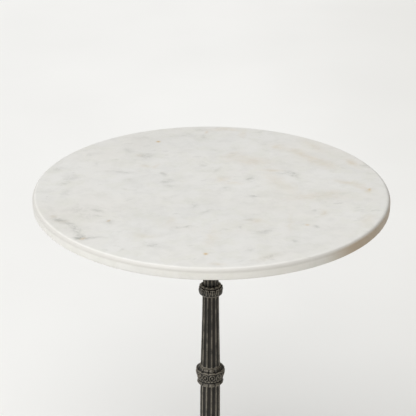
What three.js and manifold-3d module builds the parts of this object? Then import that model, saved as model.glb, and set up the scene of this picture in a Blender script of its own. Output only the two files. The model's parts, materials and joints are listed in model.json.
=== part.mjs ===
// A round marble bistro table on a fluted cast-iron pedestal with three legs.
// Millimetres, +Z up. The origin is on the floor, in the middle under the column.
// The castings of the column are stacked on one tie rod, and the legs are bolted to the hub from inside.

import * as THREE from "three";
import { mergeVertices } from "three/addons/utils/BufferGeometryUtils.js";
import Module from "manifold-3d";

const wasm = await Module();
wasm.setup();

// Driving dimensions.
const TABLE_HEIGHT = 740;
const TOP_DIAMETER = 610;
const TOP_THICKNESS = 20;
const TOP_EDGE_ROUND = 7;
const BOTTOM_EDGE_ROUND = 3;
const GAP = 0.3; // between pieces that touch

const FLUTES = 12;
const BORE_RADIUS = 6.5; // through every casting of the column
const SPIGOT_RADIUS = 9.6; // a spigot on each casting locates the next one up
const SPIGOT_HEIGHT = 5;
const SOCKET_RADIUS = SPIGOT_RADIUS + GAP;
const SOCKET_DEPTH = SPIGOT_HEIGHT + 0.4;

// Where the castings of the column meet, from the hub up.
const HUB_BOTTOM = 98;
const VASE_BOTTOM = 190;
const LOWER_SHAFT_BOTTOM = 232;
const COLLAR_BOTTOM = 361;
const UPPER_SHAFT_BOTTOM = 396;
const KNOP_BOTTOM = 540;
const NECK_BOTTOM = 551; // inside the shoulder of the knop
const SPIDER_BOTTOM = 683;

const ARM_COUNT = 4;
const ARM_SCREW_CIRCLE = 185; // radius of the four screws that hold the top
const ARM_THICKNESS = 8;
const ARM_PAD_THICKNESS = 1.7;
const ARM_PAD_RADIUS = 11;
const ARM_HALF_WIDTH = { root: 13, tip: 8 };
const ARM_BOSS_RADIUS = 12; // round each screw
const ARM_ROOT = 12; // where the arms start inside the hub
const RIB_THICKNESS = 7;
const RIB_DEPTH = 26; // at the hub, from the marble's side of the arm
const SPIDER_HUB_RADIUS = 26;
const INSERT_HEIGHT = 11.7;
const INSERT_RADIUS = 4.9;
const INSERT_BORE_RADIUS = 3.4;
const SCREW_RADIUS = 3; // M6
const SCREW_HOLE_RADIUS = 3.5;
const SCREW_HEAD_HEIGHT = 4;
const SCREW_HEAD_RADIUS = 5.6;
const SCREW_WASHER_RADIUS = 6.5;
const SCREW_WASHER_THICKNESS = 1.4;

const ROD_RADIUS = 6; // M12
const ROD_NUT_ACROSS_FLATS = 19;
const ROD_NUT_HEIGHT = 10;
const ROD_WASHER_RADIUS = 12;
const ROD_WASHER_THICKNESS = 2.5;
const ROD_POCKET_RADIUS = 14; // in the spider's hub, open above
const ROD_POCKET_DEPTH = 16;
const ROD_PAST_NUT = { bottom: 6, top: 2 };

const LEG_COUNT = 3;
const LEG_FACE_RADIUS = 32; // from the column's axis to the hub's flat faces
const HUB_WALL = 9;
const HUB_SHOULDER = 184; // height of the round shoulder under the vase
const HUB_SHOULDER_RADIUS = 36;
const HUB_POCKET_TOP = 178;
const HUB_PLATE_THICKNESS = 5;
const HUB_PLATE_RADIUS = 29;
const LEG_BOLT_HEIGHTS = { lower: 122, upper: 160 };
const LEG_BOLT_RADIUS = 4; // M8
const LEG_BOLT_HOLE_RADIUS = 4.4;
const LEG_BOLT_DEPTH = 16; // into the leg
const LEG_WASHER_RADIUS = 8;
const LEG_WASHER_THICKNESS = 1.6;
const LEG_BOLT_HEAD_HEIGHT = 5.3;
const LEG_BOLT_ACROSS_FLATS = 13;

const FOOT_CIRCLE = 237; // radius of the three glides
const GLIDE_STUD_RADIUS = 3.9; // M8
const GLIDE_HOLE_RADIUS = 4.3;
const GLIDE_PAD_RADIUS = 15;
const GLIDE_PAD_HEIGHT = 7;
const GLIDE_BUTTON = { radius: 6, bottom: 2.3, top: 5 }; // the stud's captive end in its pad
const GLIDE_NECK_RADIUS = 4;
const GLIDE_COLLAR_HEIGHT = 4;
const GLIDE_COLLAR_RADIUS = 7.5;
const GLIDE_STUD_LENGTH = 23; // above the collar
const GLIDE_RETRACTION = 4; // how far the glide can still screw into the foot

// How finely round shapes are divided.
const TOP_SEGMENTS = 72;
const SEGMENTS_PER_FLUTE = 3;
const HUB_SEGMENTS = 36;
const FOOT_SEGMENTS = 20;
const GLIDE_PAD_SEGMENTS = 18;
const ROD_SEGMENTS = 18;
const FASTENER_SEGMENTS = 12;
const LEG_STEPS = 14;
const LEG_RING = 10;

const FLOOR_TO_MARBLE = TABLE_HEIGHT - TOP_THICKNESS;
const ARM_TOP = FLOOR_TO_MARBLE - 2 * GAP - ARM_PAD_THICKNESS;
const COLLAR_OF_STUD_BOTTOM = GLIDE_PAD_HEIGHT + GAP;
const COLLAR_OF_STUD_TOP = COLLAR_OF_STUD_BOTTOM + GLIDE_COLLAR_HEIGHT;
const FOOT_BOTTOM = COLLAR_OF_STUD_TOP + GLIDE_RETRACTION + 0.5;

// Materials.
const material = (color, roughness, metalness) =>
  new THREE.MeshStandardMaterial({ color, roughness, metalness });
const MARBLE = material(0xe0dfda, 0.35, 0);
const IRON = material(0x38322c, 0.6, 0.6);
const STEEL = material(0x8d8d8a, 0.4, 1);
const BRASS = material(0xb08d4a, 0.35, 1);
const RUBBER = material(0x1f1f1f, 0.9, 0);
const PLASTIC = material(0x262626, 0.6, 0);

// A closed geometry as a solid that can be joined and cut, and back again.
function solidOf(geometry) {
  const bare = geometry.clone();
  bare.deleteAttribute("normal");
  bare.deleteAttribute("uv");
  const merged = mergeVertices(bare, 1e-4);
  const mesh = new wasm.Mesh({
    numProp: 3,
    vertProperties: merged.attributes.position.array,
    triVerts: new Uint32Array(merged.index.array),
  });
  return new wasm.Manifold(mesh);
}

function geometryOf(solid) {
  const mesh = solid.getMesh();
  const geometry = new THREE.BufferGeometry();
  geometry.setAttribute("position", new THREE.BufferAttribute(mesh.vertProperties, 3));
  geometry.setIndex(new THREE.BufferAttribute(mesh.triVerts, 1));
  const faceted = geometry.toNonIndexed();
  faceted.computeVertexNormals();
  return faceted;
}

function carve(geometry, ...cutters) {
  return geometryOf(cutters.reduce((solid, cutter) => solid.subtract(solidOf(cutter)), solidOf(geometry)));
}

function join(...geometries) {
  const [first, ...others] = geometries.map(solidOf);
  return geometryOf(others.reduce((solid, other) => solid.add(other), first));
}

// Points of an arc in the radius-height plane, with angles in degrees from outward.
function arc(radius, height, size, from, to, steps) {
  return Array.from({ length: steps + 1 }, (_, i) => {
    const angle = THREE.MathUtils.degToRad(from + ((to - from) * i) / steps);
    return [radius + size * Math.cos(angle), height + size * Math.sin(angle)];
  });
}

// Turns a profile of [radius, height] about +Z. A hollow piece repeats its first point at the end.
function turned(profile, segments) {
  const points = profile.map(([radius, height]) => new THREE.Vector2(radius, height));
  return new THREE.LatheGeometry(points, segments).rotateX(Math.PI / 2);
}

// A hollow turned casting whose outside points may also name a depth. Positive depths are hollow flutes between
// ridges at the stated radius, and negative depths are lobes that stop short of it at their valleys.
function flutedCasting(outside, bottom, top) {
  const spigotTop = top + SPIGOT_HEIGHT;
  const socketTop = bottom + SOCKET_DEPTH;
  const profile = [
    ...outside,
    [SPIGOT_RADIUS, top],
    [SPIGOT_RADIUS, spigotTop],
    [BORE_RADIUS, spigotTop],
    [BORE_RADIUS, socketTop],
    [SOCKET_RADIUS, socketTop],
    [SOCKET_RADIUS, bottom],
    outside[0],
  ];
  const geometry = turned(profile, FLUTES * SEGMENTS_PER_FLUTE);
  const position = geometry.attributes.position;
  const depths = profile.map(([, , depth = 0]) => depth);
  for (let i = 0; i < position.count; i++) {
    const depth = depths[i % profile.length];
    if (depth === 0) continue;
    const x = position.getX(i);
    const y = position.getY(i);
    const radius = Math.hypot(x, y);
    const acrossFlute = (Math.atan2(y, x) * FLUTES) / (2 * Math.PI);
    const fromRidge = 2 * Math.abs(acrossFlute - Math.round(acrossFlute)); // 0 on a ridge, 1 in a valley
    const cut = depth > 0 ? depth * Math.sin((fromRidge * Math.PI) / 2) : -depth * fromRidge ** 2;
    position.setXY(i, (x * (radius - cut)) / radius, (y * (radius - cut)) / radius);
  }
  return geometry;
}

// Joins equal rings of points into one closed skin, with a fan over each end.
function loft(rings) {
  const count = rings[0].length;
  const points = rings.flat();
  const triangles = [];
  rings.slice(1).forEach((_, i) => {
    for (let j = 0; j < count; j++) {
      const next = (j + 1) % count;
      const [a, b] = [i * count + j, i * count + next];
      triangles.push(a, b, b + count, a, b + count, a + count);
    }
  });
  const last = (rings.length - 1) * count;
  for (let j = 1; j < count - 1; j++) {
    triangles.push(0, j + 1, j, last, last + j, last + j + 1);
  }
  const geometry = new THREE.BufferGeometry().setFromPoints(points);
  geometry.setIndex(triangles);
  const faceted = geometry.toNonIndexed();
  faceted.computeVertexNormals();
  return faceted;
}

// Straight cylinders: upright ones stand on a height, radial ones lie along +X from a radius.
function upright(radius, bottom, height, segments) {
  return new THREE.CylinderGeometry(radius, radius, height, segments)
    .rotateX(Math.PI / 2)
    .translate(0, 0, bottom + height / 2);
}

function radial(radius, start, length, segments) {
  return new THREE.CylinderGeometry(radius, radius, length, segments)
    .rotateZ(Math.PI / 2)
    .translate(start + length / 2, 0, 0);
}

function ring(inner, outer, bottom, height, segments) {
  const top = bottom + height;
  return turned([[inner, bottom], [outer, bottom], [outer, top], [inner, top], [inner, bottom]], segments);
}

// A hexagon with a round hole, lying on a height.
const hexCorner = (acrossFlats) => acrossFlats / Math.sqrt(3);
function hexNut(acrossFlats, bore, bottom, height) {
  const outline = Array.from({ length: 6 }, (_, i) =>
    new THREE.Vector2(hexCorner(acrossFlats), 0).rotateAround(new THREE.Vector2(), (i * Math.PI) / 3),
  );
  const shape = new THREE.Shape(outline);
  shape.holes.push(new THREE.Path().absarc(0, 0, bore, 0, 2 * Math.PI, true));
  return new THREE.ExtrudeGeometry(shape, { depth: height, bevelEnabled: false, curveSegments: 9 }).translate(
    0,
    0,
    bottom,
  );
}

const table = new THREE.Group();

function piece(parent, name, geometry, ofMaterial) {
  const mesh = new THREE.Mesh(geometry, ofMaterial);
  mesh.name = name;
  parent.add(mesh);
  return mesh;
}

// A group turned about the column, for pieces that repeat round it.
function turnedGroup(degrees) {
  const group = new THREE.Group();
  group.rotation.z = THREE.MathUtils.degToRad(degrees);
  table.add(group);
  return group;
}

const armAngle = (index) => 45 + (index * 360) / ARM_COUNT;
const legAngle = (index) => 90 + (index * 360) / LEG_COUNT;

// The marble top, with four blind holes for the inserts.
function marbleTop() {
  const radius = TOP_DIAMETER / 2;
  const slab = turned(
    [
      [0, FLOOR_TO_MARBLE],
      ...arc(radius - BOTTOM_EDGE_ROUND, FLOOR_TO_MARBLE + BOTTOM_EDGE_ROUND, BOTTOM_EDGE_ROUND, -90, 0, 1),
      ...arc(radius - TOP_EDGE_ROUND, TABLE_HEIGHT - TOP_EDGE_ROUND, TOP_EDGE_ROUND, 0, 90, 3),
      [0, TABLE_HEIGHT],
    ],
    TOP_SEGMENTS,
  );
  const holes = Array.from({ length: ARM_COUNT }, (_, i) =>
    upright(INSERT_RADIUS + GAP, FLOOR_TO_MARBLE - 1, INSERT_HEIGHT + 2 * GAP + 1, FASTENER_SEGMENTS)
      .translate(ARM_SCREW_CIRCLE, 0, 0)
      .rotateZ(THREE.MathUtils.degToRad(armAngle(i))),
  );
  return carve(slab, ...holes);
}
piece(table, "marble_top", marbleTop(), MARBLE);

// What holds the marble at each arm: insert, rubber pad, washer and screw.
const insertGeometry = ring(
  INSERT_BORE_RADIUS,
  INSERT_RADIUS,
  FLOOR_TO_MARBLE + GAP,
  INSERT_HEIGHT,
  FASTENER_SEGMENTS,
);
const armPadGeometry = ring(
  SCREW_HOLE_RADIUS,
  ARM_PAD_RADIUS,
  ARM_TOP + GAP,
  ARM_PAD_THICKNESS,
  FASTENER_SEGMENTS,
);
const screwWasherTop = ARM_TOP - ARM_THICKNESS - GAP;
const screwWasherGeometry = ring(
  SCREW_HOLE_RADIUS,
  SCREW_WASHER_RADIUS,
  screwWasherTop - SCREW_WASHER_THICKNESS,
  SCREW_WASHER_THICKNESS,
  FASTENER_SEGMENTS,
);
const screwHeadTop = screwWasherTop - SCREW_WASHER_THICKNESS - GAP;
const screwTip = FLOOR_TO_MARBLE + INSERT_HEIGHT - 1;
const topScrewGeometry = turned(
  [
    [0, screwHeadTop - SCREW_HEAD_HEIGHT],
    [SCREW_HEAD_RADIUS - 2, screwHeadTop - SCREW_HEAD_HEIGHT],
    [SCREW_HEAD_RADIUS, screwHeadTop - 0.6 * SCREW_HEAD_HEIGHT],
    [SCREW_HEAD_RADIUS, screwHeadTop],
    [SCREW_RADIUS, screwHeadTop],
    [SCREW_RADIUS, screwTip - 1],
    [SCREW_RADIUS - 1, screwTip],
    [0, screwTip],
  ],
  FASTENER_SEGMENTS,
);
for (let i = 0; i < ARM_COUNT; i++) {
  const arm = turnedGroup(armAngle(i));
  const fasteners = new THREE.Group();
  fasteners.position.x = ARM_SCREW_CIRCLE;
  arm.add(fasteners);
  piece(fasteners, `insert_${i + 1}`, insertGeometry, BRASS);
  piece(fasteners, `arm_pad_${i + 1}`, armPadGeometry, RUBBER);
  piece(fasteners, `screw_washer_${i + 1}`, screwWasherGeometry, STEEL);
  piece(fasteners, `top_screw_${i + 1}`, topScrewGeometry, STEEL);
}

// The spider: a hub on top of the column and four ribbed arms under the marble.
const ROD_POCKET_BOTTOM = ARM_TOP - ROD_POCKET_DEPTH;
function topSpider() {
  const hub = turned(
    [
      [0, SPIDER_BOTTOM + GAP],
      [17, SPIDER_BOTTOM + GAP],
      [19, SPIDER_BOTTOM + 4],
      [18, SPIDER_BOTTOM + 8],
      [SPIDER_HUB_RADIUS - 2, SPIDER_BOTTOM + 16],
      [SPIDER_HUB_RADIUS, SPIDER_BOTTOM + 22],
      [SPIDER_HUB_RADIUS, ARM_TOP],
      [0, ARM_TOP],
    ],
    HUB_SEGMENTS,
  );
  const { root, tip } = ARM_HALF_WIDTH;
  const tipStart = ARM_SCREW_CIRCLE - ARM_BOSS_RADIUS - 2;
  const plate = new THREE.Shape();
  plate.moveTo(ARM_ROOT, -root);
  plate.lineTo(tipStart, -tip);
  plate.absarc(ARM_SCREW_CIRCLE, 0, ARM_BOSS_RADIUS, -0.75 * Math.PI, 0.75 * Math.PI, false);
  plate.lineTo(tipStart, tip);
  plate.lineTo(ARM_ROOT, root);
  const plateGeometry = new THREE.ExtrudeGeometry(plate, {
    depth: ARM_THICKNESS,
    bevelEnabled: false,
    curveSegments: 5,
  }).translate(0, 0, ARM_TOP - ARM_THICKNESS);
  const ribEnd = ARM_SCREW_CIRCLE - ARM_BOSS_RADIUS - 10;
  const rib = new THREE.Shape();
  rib.moveTo(ARM_ROOT, 0);
  rib.lineTo(ARM_ROOT, -RIB_DEPTH);
  rib.quadraticCurveTo(70, -20, ribEnd, -ARM_THICKNESS);
  rib.lineTo(ribEnd, 0);
  const ribGeometry = new THREE.ExtrudeGeometry(rib, {
    depth: RIB_THICKNESS,
    bevelEnabled: false,
    curveSegments: 4,
  })
    .translate(0, 0, -RIB_THICKNESS / 2)
    .rotateX(Math.PI / 2)
    .translate(0, 0, ARM_TOP - 1);
  const arm = join(plateGeometry, ribGeometry);
  const arms = Array.from({ length: ARM_COUNT }, (_, i) =>
    arm.clone().rotateZ(THREE.MathUtils.degToRad(armAngle(i))),
  );
  const screwHoles = Array.from({ length: ARM_COUNT }, (_, i) =>
    upright(SCREW_HOLE_RADIUS, ARM_TOP - 20, 30, FASTENER_SEGMENTS)
      .translate(ARM_SCREW_CIRCLE, 0, 0)
      .rotateZ(THREE.MathUtils.degToRad(armAngle(i))),
  );
  return carve(
    join(hub, ...arms),
    upright(BORE_RADIUS, SPIDER_BOTTOM - 1, 60, ROD_SEGMENTS),
    upright(SOCKET_RADIUS, SPIDER_BOTTOM - 1, SOCKET_DEPTH + GAP + 1, ROD_SEGMENTS),
    upright(ROD_POCKET_RADIUS, ROD_POCKET_BOTTOM, ROD_POCKET_DEPTH + 1, ROD_SEGMENTS),
    ...screwHoles,
  );
}
piece(table, "top_spider", topSpider(), IRON);

// The fluted castings of the column. Each outside is a list of [radius, height, flute depth].
piece(
  table,
  "neck_casting",
  flutedCasting(
    [
      [13.7, NECK_BOTTOM + GAP, 1.9],
      [13.3, SPIDER_BOTTOM, 1.9],
    ],
    NECK_BOTTOM + GAP,
    SPIDER_BOTTOM,
  ),
  IRON,
);
piece(
  table,
  "upper_knop",
  flutedCasting(
    [
      [14.4, KNOP_BOTTOM + GAP],
      [19, 541.6],
      [20.4, 543.5, -1.2],
      [21.6, 549.5, -1.2],
      [21.6, 553, -1.2],
      [21, 555.6, -1.2],
      [19.4, 557.8, -0.8],
      [17.4, 558.9],
      [15.5, 559.1],
      [14.8, 558.2],
      [14.8, NECK_BOTTOM],
    ],
    KNOP_BOTTOM + GAP,
    NECK_BOTTOM,
  ),
  IRON,
);
piece(
  table,
  "upper_shaft",
  flutedCasting(
    [
      [17.3, UPPER_SHAFT_BOTTOM + GAP, 2.3],
      [15.45, 467, 2.3],
      [14.4, 515, 2],
      [14.15, KNOP_BOTTOM, 2],
    ],
    UPPER_SHAFT_BOTTOM + GAP,
    KNOP_BOTTOM,
  ),
  IRON,
);
piece(
  table,
  "middle_collar",
  flutedCasting(
    [
      [17.6, COLLAR_BOTTOM + GAP],
      [22, 362.3],
      [23.1, 364.6],
      [22.9, 367.8],
      [21.6, 371],
      [22.7, 374],
      [25, 379.5],
      [25.7, 384],
      [25.3, 389],
      [24.6, 392.2],
      [22, 393],
      [18.2, UPPER_SHAFT_BOTTOM],
    ],
    COLLAR_BOTTOM + GAP,
    UPPER_SHAFT_BOTTOM,
  ),
  IRON,
);
piece(
  table,
  "lower_shaft",
  flutedCasting(
    [
      [18.6, LOWER_SHAFT_BOTTOM + GAP, 2.5],
      [17.9, 280, 2.4],
      [17.5, 340, 2.3],
      [16.9, COLLAR_BOTTOM, 2.3],
    ],
    LOWER_SHAFT_BOTTOM + GAP,
    COLLAR_BOTTOM,
  ),
  IRON,
);
piece(
  table,
  "base_vase",
  flutedCasting(
    [
      [35, VASE_BOTTOM + GAP],
      [35, 194],
      [29, 198],
      [26, 201],
      [29.5, 207, -1.6],
      [29.5, 213, -1.6],
      [25, 219, -1.2],
      [20.6, 223],
      [22.6, 226],
      [22.6, 229],
      [19.6, LOWER_SHAFT_BOTTOM],
    ],
    VASE_BOTTOM + GAP,
    LOWER_SHAFT_BOTTOM,
  ),
  IRON,
);

// The leg hub: six sides, three of them faces for the legs, and a pocket open below for the bolt heads.
function sixSided(apothem, bottom, height) {
  const faceAlongX = Math.PI / 6;
  return upright(hexCorner(2 * apothem), bottom, height, 6).rotateZ(faceAlongX);
}
function legHub() {
  const body = sixSided(LEG_FACE_RADIUS, HUB_BOTTOM, HUB_SHOULDER - HUB_BOTTOM + 1);
  const shoulder = upright(HUB_SHOULDER_RADIUS, HUB_SHOULDER, VASE_BOTTOM - HUB_SHOULDER, HUB_SEGMENTS);
  const spigot = upright(SPIGOT_RADIUS, VASE_BOTTOM - 1, SPIGOT_HEIGHT + 1, ROD_SEGMENTS);
  const boltHoles = Array.from({ length: LEG_COUNT }, (_, i) =>
    Object.values(LEG_BOLT_HEIGHTS).map((height) =>
      radial(LEG_BOLT_HOLE_RADIUS, 5, 40, FASTENER_SEGMENTS)
        .translate(0, 0, height)
        .rotateZ(THREE.MathUtils.degToRad(legAngle(i))),
    ),
  ).flat();
  return carve(
    join(body, shoulder, spigot),
    sixSided(LEG_FACE_RADIUS - HUB_WALL, HUB_BOTTOM - 1, HUB_POCKET_TOP - HUB_BOTTOM + 1),
    upright(BORE_RADIUS, HUB_BOTTOM, 120, ROD_SEGMENTS),
    ...boltHoles,
  );
}
piece(table, "leg_hub", legHub(), IRON);

// The tie rod and what it clamps against at each end.
const plateTop = HUB_BOTTOM - GAP;
const lowerWasherTop = plateTop - HUB_PLATE_THICKNESS - GAP;
const lowerNutTop = lowerWasherTop - ROD_WASHER_THICKNESS - GAP;
const upperWasherBottom = ROD_POCKET_BOTTOM + GAP;
const upperNutBottom = upperWasherBottom + ROD_WASHER_THICKNESS + GAP;
const rodBottom = lowerNutTop - ROD_NUT_HEIGHT - ROD_PAST_NUT.bottom;
const rodTop = upperNutBottom + ROD_NUT_HEIGHT + ROD_PAST_NUT.top;
piece(table, "tie_rod", upright(ROD_RADIUS, rodBottom, rodTop - rodBottom, ROD_SEGMENTS), STEEL);
piece(
  table,
  "hub_plate",
  turned(
    [
      [BORE_RADIUS, plateTop - HUB_PLATE_THICKNESS],
      [HUB_PLATE_RADIUS - 4, plateTop - HUB_PLATE_THICKNESS],
      [HUB_PLATE_RADIUS, plateTop - 2],
      [HUB_PLATE_RADIUS, plateTop],
      [BORE_RADIUS, plateTop],
      [BORE_RADIUS, plateTop - HUB_PLATE_THICKNESS],
    ],
    ROD_SEGMENTS,
  ),
  IRON,
);
const rodWasher = (bottom) => ring(BORE_RADIUS, ROD_WASHER_RADIUS, bottom, ROD_WASHER_THICKNESS, ROD_SEGMENTS);
const rodNut = (bottom) => hexNut(ROD_NUT_ACROSS_FLATS, BORE_RADIUS, bottom, ROD_NUT_HEIGHT);
piece(table, "rod_washer_bottom", rodWasher(lowerWasherTop - ROD_WASHER_THICKNESS), STEEL);
piece(table, "rod_nut_bottom", rodNut(lowerNutTop - ROD_NUT_HEIGHT), STEEL);
piece(table, "rod_washer_top", rodWasher(upperWasherBottom), STEEL);
piece(table, "rod_nut_top", rodNut(upperNutBottom), STEEL);

// A leg lies along +X. Its middle line is a curve through stations of [radius, height, depth, width].
const LEG_STATIONS = [
  [LEG_FACE_RADIUS + GAP, 143, 78, 22],
  [62, 143, 62, 20],
  [95, 131, 46, 18],
  [128, 107, 36, 16],
  [158, 77, 29, 15],
  [188, 50, 25, 15],
  [214, 36, 24, 17],
  [232, 32, 24, 20],
];
const LEG_SQUARENESS = 0.55; // power of the section's curve: 1 is an ellipse, 0 a rectangle
function legBar() {
  const line = new THREE.CatmullRomCurve3(LEG_STATIONS.map(([r, z]) => new THREE.Vector3(r, 0, z)));
  const sizes = new THREE.CatmullRomCurve3(LEG_STATIONS.map(([, , d, w]) => new THREE.Vector3(d, w, 0)));
  const rings = Array.from({ length: LEG_STEPS + 1 }, (_, i) => {
    const t = i / LEG_STEPS;
    const centre = line.getPoint(t);
    const size = sizes.getPoint(t);
    const along = i === 0 ? new THREE.Vector3(1, 0, 0) : line.getTangent(t);
    const up = new THREE.Vector3(-along.z, 0, along.x);
    return Array.from({ length: LEG_RING }, (_, j) => {
      const angle = ((j + 0.5) * 2 * Math.PI) / LEG_RING;
      const squared = (value) => Math.sign(value) * Math.abs(value) ** LEG_SQUARENESS;
      return centre
        .clone()
        .addScaledVector(new THREE.Vector3(0, 1, 0), (squared(Math.cos(angle)) * size.y) / 2)
        .addScaledVector(up, (squared(Math.sin(angle)) * size.x) / 2);
    });
  });
  return loft(rings);
}

// The whole leg: bar, scroll under the knee and pad foot, drilled for its bolts and its glide.
const SCROLL = { radius: 15, width: 18, at: [51, 106] };
const FOOT_RADIUS = 19;
const FOOT_TOP = 50;
function leg() {
  const { radius, width, at } = SCROLL;
  const scroll = new THREE.CylinderGeometry(radius, radius, width, FOOT_SEGMENTS).translate(at[0], 0, at[1]);
  const foot = turned(
    [
      [0, FOOT_BOTTOM],
      [FOOT_RADIUS - 3, FOOT_BOTTOM],
      ...arc(FOOT_RADIUS - 7, FOOT_BOTTOM + 8, 7, -40, 60, 4),
      [12, FOOT_TOP - 12],
      [9, FOOT_TOP - 3],
      [0, FOOT_TOP],
    ],
    FOOT_SEGMENTS,
  ).translate(FOOT_CIRCLE, 0, 0);
  const boltHole = radial(LEG_BOLT_HOLE_RADIUS, LEG_FACE_RADIUS - 5, LEG_BOLT_DEPTH + 7, FASTENER_SEGMENTS);
  const boltHoles = Object.values(LEG_BOLT_HEIGHTS).map((height) => boltHole.clone().translate(0, 0, height));
  const glideHole = upright(
    GLIDE_HOLE_RADIUS,
    FOOT_BOTTOM - 1,
    COLLAR_OF_STUD_TOP + GLIDE_STUD_LENGTH + GLIDE_RETRACTION + 2 - FOOT_BOTTOM,
    FASTENER_SEGMENTS,
  ).translate(FOOT_CIRCLE, 0, 0);
  return carve(join(legBar(), scroll, foot), ...boltHoles, glideHole);
}

// A leg bolt runs outward from the hub's pocket, with its head and washer inside.
const pocketWall = LEG_FACE_RADIUS - HUB_WALL;
const washerStart = pocketWall - GAP - LEG_WASHER_THICKNESS;
const headStart = washerStart - GAP - LEG_BOLT_HEAD_HEIGHT;
const legBoltGeometry = join(
  radial(hexCorner(LEG_BOLT_ACROSS_FLATS), headStart, LEG_BOLT_HEAD_HEIGHT, 6),
  radial(LEG_BOLT_RADIUS, headStart + 1, LEG_FACE_RADIUS + LEG_BOLT_DEPTH - headStart - 1, FASTENER_SEGMENTS),
);
const legWasherGeometry = ring(
  LEG_BOLT_HOLE_RADIUS,
  LEG_WASHER_RADIUS,
  0,
  LEG_WASHER_THICKNESS,
  FASTENER_SEGMENTS,
)
  .rotateY(Math.PI / 2)
  .translate(washerStart, 0, 0);

// A glide: a stud that screws into the foot, with its button captive in a pad on the floor.
const glideStudGeometry = turned(
  [
    [0, GLIDE_BUTTON.bottom],
    [GLIDE_BUTTON.radius, GLIDE_BUTTON.bottom],
    [GLIDE_BUTTON.radius, GLIDE_BUTTON.top],
    [GLIDE_NECK_RADIUS, GLIDE_BUTTON.top],
    [GLIDE_NECK_RADIUS, COLLAR_OF_STUD_BOTTOM],
    [GLIDE_COLLAR_RADIUS, COLLAR_OF_STUD_BOTTOM],
    [GLIDE_COLLAR_RADIUS, COLLAR_OF_STUD_TOP],
    [GLIDE_STUD_RADIUS, COLLAR_OF_STUD_TOP],
    [GLIDE_STUD_RADIUS, COLLAR_OF_STUD_TOP + GLIDE_STUD_LENGTH - 1],
    [GLIDE_STUD_RADIUS - 1, COLLAR_OF_STUD_TOP + GLIDE_STUD_LENGTH],
    [0, COLLAR_OF_STUD_TOP + GLIDE_STUD_LENGTH],
  ],
  FASTENER_SEGMENTS,
);
const glidePadGeometry = turned(
  [
    [0, 0],
    [GLIDE_PAD_RADIUS - 1.5, 0],
    [GLIDE_PAD_RADIUS, 1.5],
    [GLIDE_PAD_RADIUS - 1, 4],
    [GLIDE_PAD_RADIUS - 4, GLIDE_PAD_HEIGHT],
    [GLIDE_NECK_RADIUS + GAP, GLIDE_PAD_HEIGHT],
    [GLIDE_NECK_RADIUS + GAP, GLIDE_BUTTON.top + GAP],
    [GLIDE_BUTTON.radius + GAP, GLIDE_BUTTON.top + GAP],
    [GLIDE_BUTTON.radius + GAP, GLIDE_BUTTON.bottom - GAP],
    [0, GLIDE_BUTTON.bottom - GAP],
  ],
  GLIDE_PAD_SEGMENTS,
);

const legGeometry = leg();
for (let i = 0; i < LEG_COUNT; i++) {
  const side = turnedGroup(legAngle(i));
  piece(side, `leg_${i + 1}`, legGeometry, IRON);
  for (const [place, height] of Object.entries(LEG_BOLT_HEIGHTS)) {
    piece(side, `leg_bolt_${i + 1}_${place}`, legBoltGeometry, STEEL).position.z = height;
    piece(side, `leg_washer_${i + 1}_${place}`, legWasherGeometry, STEEL).position.z = height;
  }
  const glide = new THREE.Group();
  glide.position.x = FOOT_CIRCLE;
  side.add(glide);
  piece(glide, `glide_stud_${i + 1}`, glideStudGeometry, STEEL);
  piece(glide, `glide_pad_${i + 1}`, glidePadGeometry, PLASTIC);
}

export default table;
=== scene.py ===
"""A round marble bistro table on a fluted cast-iron pedestal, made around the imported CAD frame.

Shapes are given in millimetres in the frame's axes and become metres as each mesh is made. Heights of pieces
come from the CAD nodes that they stand for.
"""

import json
import math

import bmesh
import bpy
import numpy as np
from mathutils import Matrix, Vector


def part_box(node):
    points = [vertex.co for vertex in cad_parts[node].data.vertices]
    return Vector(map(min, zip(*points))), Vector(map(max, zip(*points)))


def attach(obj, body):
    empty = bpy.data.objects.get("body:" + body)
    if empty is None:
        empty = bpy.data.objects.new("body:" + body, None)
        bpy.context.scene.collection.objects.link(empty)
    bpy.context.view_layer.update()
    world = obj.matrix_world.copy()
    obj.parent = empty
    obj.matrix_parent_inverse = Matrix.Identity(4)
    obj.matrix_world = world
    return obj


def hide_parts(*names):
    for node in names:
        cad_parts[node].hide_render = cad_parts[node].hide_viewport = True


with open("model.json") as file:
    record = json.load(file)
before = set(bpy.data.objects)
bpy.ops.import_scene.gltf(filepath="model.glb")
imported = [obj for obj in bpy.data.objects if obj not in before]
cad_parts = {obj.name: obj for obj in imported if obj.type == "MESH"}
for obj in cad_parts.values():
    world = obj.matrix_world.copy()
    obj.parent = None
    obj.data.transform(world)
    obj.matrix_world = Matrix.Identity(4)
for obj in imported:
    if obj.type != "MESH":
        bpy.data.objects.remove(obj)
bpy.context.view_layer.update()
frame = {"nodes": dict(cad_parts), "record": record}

MM = 0.001
TURN = 2 * math.pi
FLUTES = 12
BORE_RADIUS = 6.5  # of the hole through every casting of the column, for the rod
ROD_RADIUS = 6
SPIGOT_RADIUS = 9.6
SPIGOT_HEIGHT = 5
SOCKET_RADIUS = 9.9
SOCKET_DEPTH = 5.4
LEG_ANGLES = (90, 210, 330)
ARM_ANGLES = (45, 135, 225, 315)
SCREW_CIRCLE = 185  # radius of the ring of top screws
SCREW_HOLE_RADIUS = 3.5
NUT_ACROSS_FLATS = 19


def new_object(name, data):
    thing = bpy.data.objects.new(name, data)
    bpy.context.scene.collection.objects.link(thing)
    return thing


def extent(node):
    """Lowest and highest corner of a CAD node, in millimetres."""
    low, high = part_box(node)
    return low / MM, high / MM


# ---------------- camera, light and floor


TOP_LOW, TOP_HIGH = extent("marble_top")
TABLE_HEIGHT = TOP_HIGH.z * MM

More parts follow.
